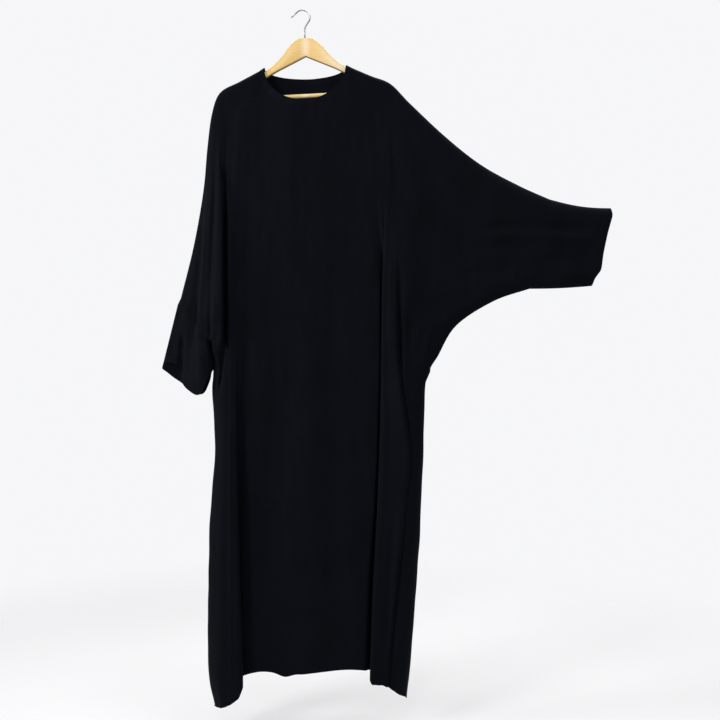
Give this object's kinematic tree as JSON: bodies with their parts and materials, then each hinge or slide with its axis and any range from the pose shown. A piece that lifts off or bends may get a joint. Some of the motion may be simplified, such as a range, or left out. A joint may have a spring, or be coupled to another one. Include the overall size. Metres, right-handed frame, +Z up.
{
  "type": "batwing abaya on a wooden hanger",
  "caption": "Full-length closed batwing abaya of black crepe on a wooden hanger, one sleeve hanging and one held out, open at neck, cuffs and hem.",
  "frame": {"origin": "inner top of the hanger's hook, where a rail or nail carries it", "axes": "+Z up, +X toward the sleeve that is held out (the viewer's right from the front), the front of the garment faces -Y"},
  "size_m": [1.087, 0.0859, 1.7027],
  "materials": {
    "crepe": "matt black crepe with a faint blue cast and a soft sheen on its folds",
    "crepe_band": "the same black crepe doubled and topstitched",
    "hanger_wood": "beech under clear gloss varnish",
    "hanger_wire": "plated steel wire"
  },
  "bodies": {
    "root": {"front_panel": "crepe", "back_panel": "crepe", "cuff_hanging": "crepe", "cuff_raised": "crepe", "neckband": "crepe_band", "hanger_body": "hanger_wood", "hanger_bar": "hanger_wood", "hanger_hook": "hanger_wire"}
  },
  "joints": []
}
